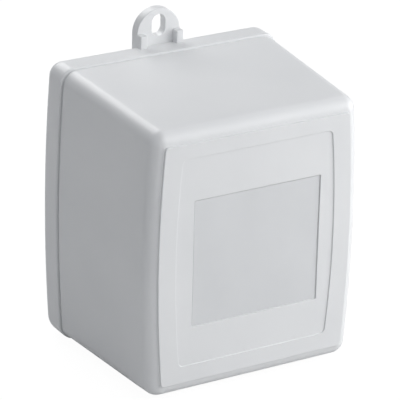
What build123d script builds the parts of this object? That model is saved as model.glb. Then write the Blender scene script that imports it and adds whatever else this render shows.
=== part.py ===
from build123d import *
import os

# A plug-in transformer, in millimetres, +Z up.
# The origin is the centre of the flat back that meets the wall.
# The label faces -Y and the blades point along +Y.
# A depth is a distance from that back toward the label, so a point at depth d has y = -d.

# Core plates and their stack
leg_width = 11.0
window_width = 11.0
window_length = 33.0
centre_leg = 22.0
plate_gauge = 0.5
plate_coating = 0.02
butt_gap = 0.05
core_plates = 56

# Bobbin and windings
leg_gap = 0.25
bobbin_wall = 1.2
flange_wall = 1.2
flange_gap = 0.3
flange_corner = 2.0
winding_room = 1.3
tape_wall = 0.25
bend_of_first_turn = 0.6

# Room that the case leaves around the core and the coil
room_above = 11.1
room_below = 9.75
room_beside = 10.4
coil_gap = 0.75
back_gap = 4.45

# Back plate
plate_depth = 10.0
back_wall = 2.6
side_bow = 1.65
plate_top_radius = 4.3
plate_low_radius = 6.5
wall_edge_round = 4.0
rim_round = 0.45
plate_proud = 0.55
plate_low_proud = 1.4
spigot_length = 3.0
spigot_wall = 1.5
spigot_gap = 0.3

# Screw tab on the back plate
tab_x = -0.2
tab_radius = 7.25
tab_rise = 3.7
tab_sink = 0.3
tab_thickness = 3.0
tab_slot_width = 4.6
tab_slot_height = 6.8
tab_slot_rise = 5.84
gusset_width = 2.3
gusset_reach = 5.3
gusset_rise = 3.9
tab_edge_round = 0.3

# Front housing
wall = 2.3
front_wall = 2.6
side_draft = 2.28
top_draft = 2.75
bottom_draft = 0.56
housing_radius = 4.3
inner_radius = 1.0
front_round = 4.0
inner_round = 1.5
weld_chamfer = 0.25

# Raised panel on the front, the shallow recess in it and the label recess in that
panel_raise = 0.6
panel_side_margin = 3.0
panel_top_margin = 3.9
panel_low_margin = 3.7
panel_radius = 1.2
recess_depth = 0.3
recess_side_margin = 5.75
recess_top_margin = 4.6
recess_low_margin = 5.4
recess_radius = 1.6
label_recess_depth = 0.5
label_width = 42.0
label_height = 39.3
label_x = 0.4
label_drop = 0.75
label_radius = 0.4
label_thickness = 0.2
label_gap = 0.25

# Ribs and posts that hold the core
rib_thickness = 1.6
rib_gap = 0.15
post_size = 6.0
post_inset = 1.0
pad_thickness = 0.8
rib_inset = 13.0

# Plug blades
blade_spacing = 12.7
blade_thickness = 1.5
line_width = 6.35
neutral_width = 7.94
blade_length = 17.0
blade_drop = 19.9
blade_hole_radius = 1.6
blade_hole_reach = 11.7
blade_tip = 1.3
blade_edge = 0.45
blade_fit = 0.1
shoulder = 1.0
shoulder_depth = 2.0
tail_width = 4.0
tail_length = 7.2

# Retainer over the blade shoulders
retainer_overhang = 9.0
retainer_half_height = 4.9
retainer_thickness = 3.0
retainer_round = 0.8
retainer_screw_inset = 3.0
boss_radius = 2.7
thread_gap = 0.08

# Screws
retainer_screw_radius = 1.25
retainer_head_radius = 2.4
retainer_head_height = 1.6
retainer_screw_length = 6.2
terminal_screw_radius = 1.75
terminal_head_radius = 3.3
terminal_head_height = 2.2
terminal_screw_length = 6.5
driver_slot_width = 0.9

# Terminal block in the bottom face
block_half_width = 16.5
block_depth = 9.8
block_gap = 0.3
block_fit = 0.15
block_skirt = 1.2
block_barrier = 1.8
block_flange = 2.5
block_flange_thickness = 1.5
bay_height = 8.9
block_roof = 3.5
block_round = 0.5
terminal_thickness = 1.0
terminal_width = 12.0
terminal_tail_width = 3.0
terminal_tail_rise = 7.5
terminal_fit = 0.2

# Card, cut-off and leads
card_thickness = 0.4
card_margin = 0.3
cutoff_radius = 1.9
cutoff_inset = 2.8
cutoff_wire_radius = 0.5
cutoff_wire_length = 1.2
lead_radius = 0.8
lead_bend = 1.7
lead_seat = 0.25
lead_room = 0.25
lead_inset = 1.6

# Sizes and places that follow
stack = core_plates * plate_gauge
core_height = 2 * leg_width + 2 * window_width + centre_leg
core_width = window_length + 2 * leg_width
coil_half_depth = stack / 2 + window_width - flange_gap
coil_half_height = centre_leg / 2 + window_width - flange_gap
coil_half_length = window_length / 2 - flange_gap

case_height = core_height + room_above + room_below
case_half_width = core_width / 2 + room_beside
plate_top = case_height / 2
plate_low = -case_height / 2

core_z = plate_low + room_below + core_height / 2
core_top = core_z + core_height / 2
core_depth = back_wall + back_gap + coil_half_depth
core_back = core_depth - stack / 2
core_front = core_depth + stack / 2
inner_front = core_depth + coil_half_depth + coil_gap
frame_depth = inner_front + front_wall
panel_depth = frame_depth + panel_raise
recess_floor = panel_depth - recess_depth
label_floor = recess_floor - label_recess_depth

tab_centre_z = plate_top + tab_rise
slot_z = plate_top + tab_slot_rise
blade_z = slot_z - blade_drop
shoulder_front = back_wall + shoulder_depth
retainer_front = shoulder_front + retainer_thickness
tail_end = shoulder_front + tail_length
retainer_half_length = blade_spacing / 2 + retainer_overhang

tube_half_height = centre_leg / 2 + leg_gap + bobbin_wall
tube_half_depth = stack / 2 + leg_gap + bobbin_wall
winding_build = window_width - leg_gap - bobbin_wall - winding_room
winding_radius = winding_build + bend_of_first_turn
winding_half_height = tube_half_height + winding_build
winding_half_depth = tube_half_depth + winding_build
section_start = flange_wall / 2
section_end = coil_half_length - flange_wall


def slab(x0, x1, d0, d1, z0, z1):
    """Box between two x values, two depths and two z values."""
    return Pos((x0 + x1) / 2, -(d0 + d1) / 2, (z0 + z1) / 2) * Box(x1 - x0, d1 - d0, z1 - z0)


def peg(radius, x, z, d0, d1):
    """Round bar along the depth."""
    return extrude(Plane.XZ.offset(d0) * Pos(x, z) * Circle(radius), d1 - d0)


def barrel(half_width, low, high, low_radius, high_radius):
    """Flat outline with a straight top and bottom, bowed sides and round corners."""
    corner = half_width - side_bow
    middle = (low + high) / 2
    sides = [
        Line((-corner, low), (corner, low)),
        ThreePointArc((corner, low), (half_width, middle), (corner, high)),
        Line((corner, high), (-corner, high)),
        ThreePointArc((-corner, high), (-half_width, middle), (-corner, low)),
    ]
    face = make_face(sides)
    face = fillet(face.vertices().group_by(Axis.Y)[0], low_radius)
    return fillet(face.vertices().group_by(Axis.Y)[-1], high_radius)


def draft_share(depth):
    """How far a depth lies along the housing's draft, 0 at the weld and 1 at the front frame."""
    return (depth - plate_depth) / (frame_depth - plate_depth)


def housing_sides(depth, inset):
    """Half width, low and high of the housing at a depth, moved in by an inset."""
    share = draft_share(depth)
    half_width = case_half_width - plate_proud - inset - side_draft * share
    low = plate_low + plate_low_proud + inset + bottom_draft * share
    high = plate_top - plate_proud - inset - top_draft * share
    return half_width, low, high


def housing_outline(depth, inset):
    """Outline of the housing at a depth, moved in by an inset."""
    radius = max(housing_radius - inset, inner_radius)
    return Plane.XZ.offset(depth) * barrel(*housing_sides(depth, inset), radius, radius)


def housing_form(start, end, inset):
    """Solid drafted block between two depths, moved in by an inset."""
    return loft([housing_outline(start, inset), housing_outline(end, inset)], ruled=True)


def front_edges(solid):
    """Edges round the face that is furthest from the wall."""
    return solid.faces().sort_by(Axis.Y)[0].edges()


def back_edges(solid):
    """Edges round the face that is nearest the wall."""
    return solid.faces().sort_by(Axis.Y)[-1].edges()


def post_places():
    """The four core corners that posts press on."""
    reach_x = core_width / 2 - post_inset - post_size / 2
    reach_z = core_height / 2 - post_inset - post_size / 2
    return [(side * reach_x, core_z + end * reach_z) for side in (-1, 1) for end in (-1, 1)]


def cross_post(x, z, start, end):
    """Post of two crossed ribs."""
    half = post_size / 2
    thin = rib_thickness / 2
    upright = slab(x - thin, x + thin, start, end, z - half, z + half)
    return upright + slab(x - half, x + half, start, end, z - thin, z + thin)


def core_ribs():
    """Ribs that reach from the housing's walls to the sides, top and bottom of the core."""
    thin = rib_thickness / 2
    side_start = core_width / 2 + rib_gap
    end_start = core_height / 2 + rib_gap
    rib_z = core_height / 2 - rib_inset
    rib_x = core_width / 2 - post_inset - post_size / 2
    ribs = []
    for way in (-1, 1):
        for place in (-1, 1):
            near, far = sorted((way * side_start, way * case_half_width))
            z = core_z + place * rib_z
            ribs.append(slab(near, far, core_back, frame_depth, z - thin, z + thin))
            near, far = sorted((core_z + way * end_start, way * case_height / 2))
            x = place * rib_x
            ribs.append(slab(x - thin, x + thin, core_back, frame_depth, near, far))
    return ribs


def front_panel():
    """Raised panel with bowed sides."""
    half_width, low, high = housing_sides(frame_depth, 0)
    outline = barrel(half_width - panel_side_margin, low + panel_low_margin, high - panel_top_margin,
                     panel_radius, panel_radius)
    return extrude(Plane.XZ.offset(inner_front) * outline, panel_depth - inner_front)


def panel_recess():
    """Shallow bowed recess in the panel."""
    half_width, low, high = housing_sides(frame_depth, 0)
    outline = barrel(half_width - panel_side_margin - recess_side_margin,
                     low + panel_low_margin + recess_low_margin,
                     high - panel_top_margin - recess_top_margin, recess_radius, recess_radius)
    return extrude(Plane.XZ.offset(recess_floor) * outline, 2 * recess_depth)


def label_centre_z():
    """Height of the label's centre, a little under the recess's centre."""
    half_width, low, high = housing_sides(frame_depth, 0)
    recess_low = low + panel_low_margin + recess_low_margin
    recess_high = high - panel_top_margin - recess_top_margin
    return (recess_low + recess_high) / 2 - label_drop


def label_block(start, end, gap):
    """Rounded plate in the label's place."""
    outline = Pos(label_x, label_centre_z()) * RectangleRounded(
        label_width - 2 * gap, label_height - 2 * gap, label_radius)
    return extrude(Plane.XZ.offset(start) * outline, end - start)


def block_sides():
    """Depths of the terminal block's back and front and the height of its mouth."""
    back = core_front + block_gap
    front = back + block_depth
    half_width, mouth, high = housing_sides(front, 0)
    return back, front, mouth


def front_housing():
    """Moulded deep shell with the raised front, the ribs and the window for the terminal block."""
    weld_edge = housing_outline(plate_depth, weld_chamfer)
    rim = housing_outline(plate_depth + weld_chamfer, 0)
    outer = loft([weld_edge, rim, housing_outline(frame_depth, 0)], ruled=True)
    shape = fillet(front_edges(outer), front_round)
    inner = housing_form(plate_depth - wall, inner_front, wall)
    inner = fillet(front_edges(inner), inner_round)
    shape = shape + front_panel() - inner
    shape = shape - panel_recess() - label_block(label_floor, panel_depth, 0)
    for rib in core_ribs():
        shape += rib & inner
    for x, z in post_places():
        shape += cross_post(x, z, core_front, inner_front)
    back, front, mouth = block_sides()
    window = slab(-block_half_width - block_fit, block_half_width + block_fit, back - block_fit,
                  front + block_fit, plate_low, mouth + wall + block_flange_thickness)
    return shape - window


def screw_tab():
    """Slotted tab that stands on the back plate's rounded back, with two gussets."""
    root_z = plate_top - wall_edge_round - tab_sink
    body = slab(tab_x - tab_radius, tab_x + tab_radius, 0, tab_thickness, root_z, tab_centre_z)
    body += peg(tab_radius, tab_x, tab_centre_z, 0, tab_thickness)
    body = fillet(front_edges(body), tab_edge_round)
    for way in (-1, 1):
        outer_x = tab_x + way * tab_radius
        near, far = sorted((outer_x, outer_x - way * gusset_width))
        gusset = slab(near, far, tab_thickness / 2, gusset_reach, root_z, plate_top + gusset_rise)
        body += fillet(front_edges(gusset), tab_edge_round)
    slot = Pos(tab_x, slot_z) * Rot(0, 0, 90) * SlotOverall(tab_slot_height, tab_slot_width)
    return body - extrude(Plane.XZ * slot, tab_thickness)


def blade_places():
    """The two blades: x, width and the way from their middle."""
    half = blade_spacing / 2
    return {"neutral": (tab_x - half, neutral_width, -1), "line": (tab_x + half, line_width, 1)}


def retainer_screw_places():
    """The two retainer screws' x values."""
    reach = retainer_half_length - retainer_screw_inset
    return tab_x - reach, tab_x + reach


def back_plate():
    """Moulded back with its round back edge, rim, spigot, screw tab, blade slots and posts for the core."""
    outline = barrel(case_half_width, plate_low, plate_top, plate_low_radius, plate_top_radius)
    shape = extrude(Plane.XZ * outline, plate_depth)
    shape = fillet(front_edges(shape), rim_round)
    shape = fillet(back_edges(shape), wall_edge_round)
    spigot_inset = wall + spigot_gap
    spigot = extrude(housing_outline(plate_depth, spigot_inset), spigot_length)
    shape += spigot
    hollow = Plane.XZ.offset(back_wall) * barrel(
        *housing_sides(plate_depth, spigot_inset + spigot_wall), inner_radius, inner_radius)
    shape -= extrude(hollow, plate_depth + spigot_length - back_wall)
    shape += screw_tab()
    for x, z in post_places():
        shape += cross_post(x, z, back_wall, core_back - pad_thickness)
    for x in retainer_screw_places():
        shape += peg(boss_radius, x, blade_z, back_wall, shoulder_front)
        tip = retainer_front - retainer_screw_length - thread_gap
        shape -= peg(retainer_screw_radius + thread_gap, x, blade_z, tip, shoulder_front)
    for x, width, way in blade_places().values():
        half = blade_thickness / 2 + blade_fit
        tall = width / 2 + blade_fit
        shape -= slab(x - half, x + half, 0, back_wall, blade_z - tall, blade_z + tall)
    return shape


def blade(x, width):
    """Flat plug blade with shoulders behind the plate's wall and a solder tail."""
    half = blade_thickness / 2
    body = slab(x - half, x + half, -blade_length, back_wall, blade_z - width / 2, blade_z + width / 2)
    tip = body.faces().sort_by(Axis.Y)[-1]
    body = chamfer(tip.edges().filter_by(Axis.Z), blade_edge)
    tip = body.faces().sort_by(Axis.Y)[-1]
    body = chamfer(tip.edges().filter_by(Axis.X), blade_tip, blade_tip / 2)
    drill = Rot(0, 90, 0) * Cylinder(blade_hole_radius, 2 * blade_thickness)
    body -= Pos(x, blade_hole_reach, blade_z) * drill
    reach = width / 2 + shoulder
    body += slab(x - half, x + half, back_wall, shoulder_front, blade_z - reach, blade_z + reach)
    tail = tail_width / 2
    return body + slab(x - half, x + half, shoulder_front, tail_end, blade_z - tail, blade_z + tail)


def blade_retainer():
    """Bar that presses on both blades' shoulders, with slots for their tails."""
    bar = slab(tab_x - retainer_half_length, tab_x + retainer_half_length, shoulder_front, retainer_front,
               blade_z - retainer_half_height, blade_z + retainer_half_height)
    bar = fillet(bar.edges().filter_by(Axis.Y), retainer_round)
    for x, width, way in blade_places().values():
        half = blade_thickness / 2 + blade_fit
        tall = tail_width / 2 + blade_fit
        bar -= slab(x - half, x + half, shoulder_front, retainer_front, blade_z - tall, blade_z + tall)
    for x in retainer_screw_places():
        bar -= peg(retainer_screw_radius + 2 * thread_gap, x, blade_z, shoulder_front, retainer_front)
    return bar


def pan_screw(shank_radius, head_radius, head_height, length):
    """Slotted screw whose head hangs under the origin and whose shank points up."""
    head = Pos(0, 0, -head_height / 2) * Cylinder(head_radius, head_height)
    head = fillet(head.faces().sort_by(Axis.Z)[0].edges(), head_height / 2)
    slot = Pos(0, 0, -head_height) * Box(2 * head_radius, driver_slot_width, head_height)
    shank = Pos(0, 0, length / 2) * Cylinder(shank_radius, length)
    shank = chamfer(shank.faces().sort_by(Axis.Z)[-1].edges(), shank_radius / 3)
    return head - slot + shank


def retainer_screws():
    """Two small screws through the retainer into the plate's bosses."""
    screw = pan_screw(retainer_screw_radius, retainer_head_radius, retainer_head_height,
                      retainer_screw_length)
    return [Pos(x, -retainer_front, blade_z) * Rot(-90, 0, 0) * screw for x in retainer_screw_places()]


def bay_span():
    """Inner and outer x and the two depths of a wire bay."""
    back, front, mouth = block_sides()
    return block_barrier / 2, block_half_width - block_skirt, back + block_skirt, front - block_skirt


def terminal_places():
    """Centre x of each bay, the screws' depth and the height of the roof's underside."""
    inner, outer, back, front = bay_span()
    block_back, block_front, mouth = block_sides()
    middle = (inner + outer) / 2
    return (-middle, middle), (back + front) / 2 - terminal_fit, mouth + bay_height


def tail_depths():
    """Depths of a terminal tail's two faces."""
    inner, outer, back, front = bay_span()
    return front - terminal_fit - terminal_thickness, front - terminal_fit


def terminal_block():
    """Moulded insert with two open bays, a flange and a roof that carries the screws."""
    back, front, mouth = block_sides()
    inner, outer, bay_back, bay_front = bay_span()
    centres, screw_depth, roof = terminal_places()
    half = block_half_width
    body = slab(-half, half, back, front, mouth, roof + block_roof)
    body = fillet(body.edges().filter_by(Axis.Z), block_round)
    wide = half + block_flange
    ledge = mouth + wall
    body += slab(-wide, wide, back, front, ledge, ledge + block_flange_thickness)
    near_tail, far_tail = tail_depths()
    for x in centres:
        reach = (outer - inner) / 2
        body -= slab(x - reach, x + reach, bay_back, bay_front, mouth, roof)
        body -= Pos(x, -screw_depth, roof + block_roof / 2) * Cylinder(
            terminal_screw_radius + 2 * thread_gap, block_roof)
        wide_tail = terminal_tail_width / 2 + terminal_fit / 2
        body -= slab(x - wide_tail, x + wide_tail, near_tail - terminal_fit / 2, far_tail + terminal_fit / 2,
                     roof, roof + block_roof)
    return body


def terminal_plate(x):
    """Plate under the block's roof with a tapped hole and a tail bent up through the roof."""
    centres, screw_depth, roof = terminal_places()
    inner, outer, bay_back, bay_front = bay_span()
    near_tail, far_tail = tail_depths()
    half = terminal_width / 2
    plate = slab(x - half, x + half, bay_back + terminal_fit, far_tail, roof - terminal_thickness, roof)
    tail = terminal_tail_width / 2
    plate += slab(x - tail, x + tail, near_tail, far_tail, roof - terminal_thickness,
                  roof + terminal_tail_rise)
    return plate - Pos(x, -screw_depth, roof) * Cylinder(
        terminal_screw_radius + thread_gap, 3 * terminal_thickness)


def terminal_screws():
    """Two screws that point up through the plates into the roof."""
    centres, screw_depth, roof = terminal_places()
    screw = pan_screw(terminal_screw_radius, terminal_head_radius, terminal_head_height,
                      terminal_screw_length)
    return [Pos(x, -screw_depth, roof - terminal_thickness) * screw for x in centres]


def e_outline(side):
    """E plate whose spine lies on one side."""
    spine = Rectangle(leg_width + window_length - butt_gap, core_height)
    outline = Pos(side * leg_width / 2, core_z) * spine
    for way in (-1, 1):
        z = core_z + way * (centre_leg + window_width) / 2
        outline -= Pos(-side * leg_width / 2, z) * Rectangle(window_length + leg_width, window_width)
    return outline


def i_outline(side):
    """I plate that closes an E plate whose spine lies on the given side."""
    bar = Rectangle(leg_width - butt_gap, core_height)
    return Pos(-side * (window_length + leg_width) / 2, core_z) * bar


def core_stack(outline):
    """One plate for each layer, turned end for end from layer to layer."""
    plates = []
    for layer in range(core_plates):
        side = 1 if layer % 2 else -1
        start = core_back + layer * plate_gauge
        plates.append(extrude(Plane.XZ.offset(start) * outline(side), plate_gauge - plate_coating))
    return plates


def around_leg(half_depth, half_height, radius, x0, x1):
    """Rounded block along the centre leg."""
    outline = Pos(-core_depth, core_z) * RectangleRounded(2 * half_depth, 2 * half_height, radius)
    return extrude(Plane.YZ.offset(x0) * outline, x1 - x0)


def bobbin():
    """Square tube with two end flanges and a divider between the windings."""
    length = coil_half_length
    shape = around_leg(tube_half_depth, tube_half_height, bend_of_first_turn, -length, length)
    for x in (-length, -flange_wall / 2, length - flange_wall):
        shape += around_leg(coil_half_depth, coil_half_height, flange_corner, x, x + flange_wall)
    hole = around_leg(stack / 2 + leg_gap, centre_leg / 2 + leg_gap, leg_gap, -length, length)
    return shape - hole


def winding_span(side):
    """The two x values between which a winding lies."""
    return sorted((side * section_start, side * section_end))


def winding(side):
    """Turns of one winding as one solid round the bobbin."""
    x0, x1 = winding_span(side)
    outer = around_leg(winding_half_depth, winding_half_height, winding_radius, x0, x1)
    return outer - around_leg(tube_half_depth, tube_half_height, bend_of_first_turn, x0, x1)


def tape(side):
    """Turns of tape round one winding."""
    x0, x1 = winding_span(side)
    outer = around_leg(winding_half_depth + tape_wall, winding_half_height + tape_wall,
                       winding_radius + tape_wall, x0, x1)
    return outer - around_leg(winding_half_depth, winding_half_height, winding_radius, x0, x1)


def tape_height(offset):
    """Height of the tape over the core's middle, at a distance in depth from that middle."""
    flat = winding_half_depth - winding_radius
    radius = winding_radius + tape_wall
    past = max(abs(offset) - flat, 0)
    return winding_half_height - winding_radius + (radius ** 2 - past ** 2) ** 0.5


def cutoff_axis():
    """Depth and z of the cut-off's axis, in the upper back corner of the primary winding."""
    reach = (winding_radius + tape_wall + cutoff_radius) * 0.5 ** 0.5
    depth = core_depth - (winding_half_depth - winding_radius) - reach
    return depth, core_z + winding_half_height - winding_radius + reach


def line_turn():
    """Where the line lead turns: the x beside the bobbin's divider."""
    return -section_start - lead_room - lead_radius


def cutoff_ends():
    """The two x values between which the cut-off's can lies, with room for a wire and the lead's bend."""
    lead_start = line_turn() - lead_bend - lead_radius
    return -section_end + cutoff_inset, lead_start - cutoff_wire_length


def thermal_cutoff():
    """Small can on the primary winding with a wire at each end."""
    depth, z = cutoff_axis()
    x0, x1 = cutoff_ends()
    can = extrude(Plane.YZ.offset(x0) * Pos(-depth, z) * Circle(cutoff_radius), x1 - x0)
    can = fillet(can.edges(), cutoff_wire_radius)
    wire = Plane.YZ.offset(x0 - cutoff_wire_length) * Pos(-depth, z) * Circle(cutoff_wire_radius)
    return can + extrude(wire, x1 - x0 + 2 * cutoff_wire_length)


def lead(points):
    """Insulated lead along straight runs joined by arcs."""
    path = FilletPolyline(*points, radius=lead_bend)
    return sweep(Plane(origin=path @ 0, z_dir=path % 0) * Circle(lead_radius), path=path)


def line_lead():
    """Lead from the cut-off's inner end to the line blade's tail."""
    depth, z = cutoff_axis()
    start = cutoff_ends()[1] + cutoff_wire_length
    turn = line_turn()
    x, width, way = blade_places()["line"]
    tail = tail_end - lead_radius - lead_seat
    return lead([(start, -depth, z), (turn, -depth, z), (turn, -tail, blade_z),
                 (x - blade_thickness / 2, -tail, blade_z)])


def neutral_lead():
    """Lead from the neutral blade's tail down to the primary winding, beside the bobbin's end."""
    x, width, way = blade_places()["neutral"]
    start = x - blade_thickness / 2
    turn = -section_end + lead_inset
    tail = tail_end - lead_radius - lead_seat
    end = core_z + tape_height(core_depth - tail - lead_radius) + lead_seat
    return lead([(start, -tail, blade_z), (turn, -tail, blade_z), (turn, -tail, end)])


def secondary_lead(tail_x, way, winding_x):
    """Lead from a terminal's tail up to the secondary winding."""
    centres, screw_depth, roof = terminal_places()
    near_tail, far_tail = tail_depths()
    depth = (near_tail + far_tail) / 2
    start = tail_x + way * terminal_tail_width / 2
    z = roof + terminal_tail_rise - lead_radius
    end_depth = core_depth + winding_half_depth - winding_radius / 2
    end = core_z - tape_height(end_depth - lead_radius - core_depth) - lead_seat
    rise = end - lead_bend
    return lead([(start, -depth, z), (winding_x, -depth, z), (winding_x, -end_depth, rise),
                 (winding_x, -end_depth, end)])


def insulation_card():
    """Card on the core's upper leg, behind the blade tails."""
    half = core_width / 2 - post_inset - post_size - card_margin
    low = core_top - leg_width + card_margin
    return slab(-half, half, core_back - card_thickness, core_back, low, core_top)


def core_pads():
    """Pads between the plate's posts and the core."""
    half = post_size / 2
    return [slab(x - half, x + half, core_back - pad_thickness, core_back, z - half, z + half)
            for x, z in post_places()]


def build_parts():
    """Every node by name."""
    blades = blade_places()
    (left, right), screw_depth, roof = terminal_places()
    reach = section_start + lead_radius + lead_bend
    return {
        "front_housing": front_housing(),
        "back_plate": back_plate(),
        "rating_label": label_block(label_floor, label_floor + label_thickness, label_gap),
        "neutral_blade": blade(*blades["neutral"][:2]),
        "line_blade": blade(*blades["line"][:2]),
        "blade_retainer": blade_retainer(),
        "retainer_screws": retainer_screws(),
        "terminal_block": terminal_block(),
        "terminal_plate_left": terminal_plate(left),
        "terminal_plate_right": terminal_plate(right),
        "terminal_screws": terminal_screws(),
        "core_e_plates": core_stack(e_outline),
        "core_i_plates": core_stack(i_outline),
        "bobbin": bobbin(),
        "primary_winding": winding(-1),
        "secondary_winding": winding(1),
        "primary_tape": tape(-1),
        "secondary_tape": tape(1),
        "thermal_cutoff": thermal_cutoff(),
        "line_lead": line_lead(),
        "neutral_lead": neutral_lead(),
        "secondary_lead_left": secondary_lead(left, 1, reach),
        "secondary_lead_right": secondary_lead(right, 1, section_end - lead_radius),
        "insulation_card": insulation_card(),
        "core_pads": core_pads(),
    }


def main():
    """Write one file for each node."""
    os.makedirs("parts", exist_ok=True)
    for name, shape in build_parts().items():
        whole = Compound(shape) if isinstance(shape, list) else shape
        export_step(whole, f"parts/{name}.step")


if __name__ == "__main__":
    main()
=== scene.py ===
"""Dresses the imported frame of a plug-in transformer: moulded case, bare label, plug blades and terminals.

Lengths are millimetres until a mesh is written. The frame's origin is the centre of the flat back that
meets the wall, the label faces -Y and +Z is up. A depth is a distance from that back toward the label,
so a point at depth d has y = -d.
"""

import logging
import math
from collections.abc import Sequence
from dataclasses import dataclass, field
from enum import Enum

import bpy
import numpy as np
from mathutils import Matrix, Vector


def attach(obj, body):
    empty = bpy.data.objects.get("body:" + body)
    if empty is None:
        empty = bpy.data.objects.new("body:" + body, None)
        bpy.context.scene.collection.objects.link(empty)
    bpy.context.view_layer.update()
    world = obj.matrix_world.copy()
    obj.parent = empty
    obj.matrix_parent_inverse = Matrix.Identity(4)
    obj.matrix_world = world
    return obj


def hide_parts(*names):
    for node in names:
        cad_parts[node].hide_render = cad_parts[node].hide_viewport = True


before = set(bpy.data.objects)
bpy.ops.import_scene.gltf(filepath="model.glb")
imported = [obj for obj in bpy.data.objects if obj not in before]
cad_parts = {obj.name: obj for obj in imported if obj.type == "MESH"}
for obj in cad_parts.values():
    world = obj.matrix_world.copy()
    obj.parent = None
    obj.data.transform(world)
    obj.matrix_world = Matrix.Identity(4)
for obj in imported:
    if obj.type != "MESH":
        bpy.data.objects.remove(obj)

LOG = logging.getLogger("transformer")
MM = 0.001

# bow of a side that looks straight
STRAIGHT = 1e-4

# how far an added shape reaches into the piece that it joins
OVERLAP = 0.5

BODY = "root"

Piece = bpy.types.Object
Material = bpy.types.Material
Socket = bpy.types.NodeSocket
Colour = tuple[float, float, float]
Surface = tuple[np.ndarray, list[list[int]]]


class Slot(Enum):
    """Material slots of the record that pieces take their finish from."""

    CASE = "case"
    LABEL = "label"
    BLADE = "blade"
    NYLON = "nylon"
    STEEL = "steel"
    PLATED = "plated"
    CORE = "core"
    COPPER = "copper"
    TAPE = "tape"
    CAN = "can"
    BLACK_LEAD = "black_lead"
    WHITE_LEAD = "white_lead"
    YELLOW_LEAD = "yellow_lead"
    CARD = "card"
    PAD = "pad"


class Cut(Enum):
    """Ways to combine one closed shape with another."""

    ADD = "UNION"
    REMOVE = "DIFFERENCE"


# outlines and surfaces


@dataclass(frozen=True)
class Outline:
    """Outline with a straight top and bottom, bowed sides and round corners."""

    half_width: float
    low: float
    high: float
    bow: float
    low_radius: float
    high_radius: float

    def stations(
        self,
        depths: Sequence[float],
        sides: Sequence[float],
        lows: Sequence[float] | None = None,
        highs: Sequence[float] | None = None,
        sharpest: float = 0.05,
    ) -> np.ndarray:
        """Rows that carry this outline through depths while it shrinks.

        A side is an arc of radius R = (h^2 + bow^2) / (2 bow) over half the height h. Moved in by u it has
        the radius R - u, so its bow becomes (R - u) - sqrt((R - u)^2 - h'^2) over the new half height h'.

        Args:
            depths: depth of each row.
            sides: how far the two sides have moved in at each row.
            lows: how far the bottom has moved in, the same as the sides if left out.
            highs: how far the top has moved in, the same as the sides if left out.
            sharpest: smallest corner radius.

        Returns:
            One row for each depth: depth, half width, low, high, bow, low radius, high radius.
        """
        depth = np.asarray(depths, float)
        side = np.broadcast_to(np.asarray(sides, float), depth.shape)
        low = self.low + (side if lows is None else np.asarray(lows, float))
        high = self.high - (side if highs is None else np.asarray(highs, float))
        half = (self.high - self.low) / 2
        radius = (half**2 + self.bow**2) / (2 * self.bow) - side
        bow = radius - np.sqrt(radius**2 - ((high - low) / 2) ** 2)
        rounds = [np.maximum(corner - side, sharpest) for corner in (self.low_radius, self.high_radius)]
        return np.stack([depth, self.half_width - side, low, high, bow, *rounds], axis=1)

    def within(self, margins: Sequence[float], radius: float) -> "Outline":
        """Outline inside this one.

        Args:
            margins: how far it lies in at the sides, below and above.
            radius: radius of its corners.

        Returns:
            The inner outline.
        """
        side, low, top = margins
        return Outline(self.half_width - side, self.low + low, self.high - top, self.bow, radius, radius)


def carried_rings(stations: np.ndarray, flat: int = 14, corner: int = 12, side: int = 36) -> np.ndarray:
    """Carries an outline through its stations.

    The right side is the arc (c + R cos a, m + R sin a) about the middle height m. A corner of radius r has
    its centre where the height is r from the end and the distance from the arc's centre is R - r, so both
    its ends are smooth. The left half is the right half with x turned round.

    Args:
        stations: rows of depth, half width, low, high, bow, low radius and high radius.
        flat: points along half of the top or bottom.
        corner: points round a corner.
        side: points along a side.

    Returns:
        Points of shape (stations, points, 3), each ring anticlockwise as the label's side sees it.
    """
    depth, width, low, high, bow, low_round, high_round = stations.T[:, :, None]
    middle = (low + high) / 2
    half = (high - low) / 2
    radius = (half**2 + bow**2) / (2 * bow)
    centre = width - radius
    top_z = high - high_round
    low_z = low + low_round
    top_x = centre + np.sqrt((radius - high_round) ** 2 - (top_z - middle) ** 2)
    low_x = centre + np.sqrt((radius - low_round) ** 2 - (low_z - middle) ** 2)
    top_angle = np.arctan2(top_z - middle, top_x - centre)
    low_angle = np.arctan2(low_z - middle, low_x - centre)
    step = np.linspace(0, 1, flat, endpoint=False)[None]
    turn = np.linspace(0, 1, corner, endpoint=False)[None]
    climb = np.linspace(0, 1, side, endpoint=False)[None]
    low_turn = -math.pi / 2 + turn * (low_angle + math.pi / 2)
    rise = low_angle + climb * (top_angle - low_angle)
    top_turn = top_angle + turn * (math.pi / 2 - top_angle)
    stretches = [
        (low_x * step, low + 0 * step),
        (low_x + low_round * np.cos(low_turn), low_z + low_round * np.sin(low_turn)),
        (centre + radius * np.cos(rise), middle + radius * np.sin(rise)),
        (top_x + high_round * np.cos(top_turn), top_z + high_round * np.sin(top_turn)),
        (top_x * (1 - step), high + 0 * step),
        (np.zeros_like(depth), high + 0 * depth),
    ]
    x, z = (np.concatenate(values, axis=1) for values in zip(*stretches))
    x = np.concatenate([x, -x[:, -2:0:-1]], axis=1)
    z = np.concatenate([z, z[:, -2:0:-1]], axis=1)
    return np.stack([x, np.broadcast_to(-depth, x.shape), z], axis=2)


def ring_quads(count: int, around: int, wrapped: bool = False) -> list[list[int]]:
    """Four-sided faces between neighbouring rings.

    Args:
        count: number of rings.
        around: points in a ring.
        wrapped: whether the last ring joins the first.

    Returns:
        The faces.
    """
    ring, point = np.meshgrid(np.arange(count if wrapped else count - 1), np.arange(around), indexing="ij")
    near, far = ring * around, (ring + 1) % count * around
    following = (point + 1) % around
    quads = np.stack([near + point, near + following, far + following, far + point], axis=2)
    return quads.reshape(-1, 4).tolist()


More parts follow.
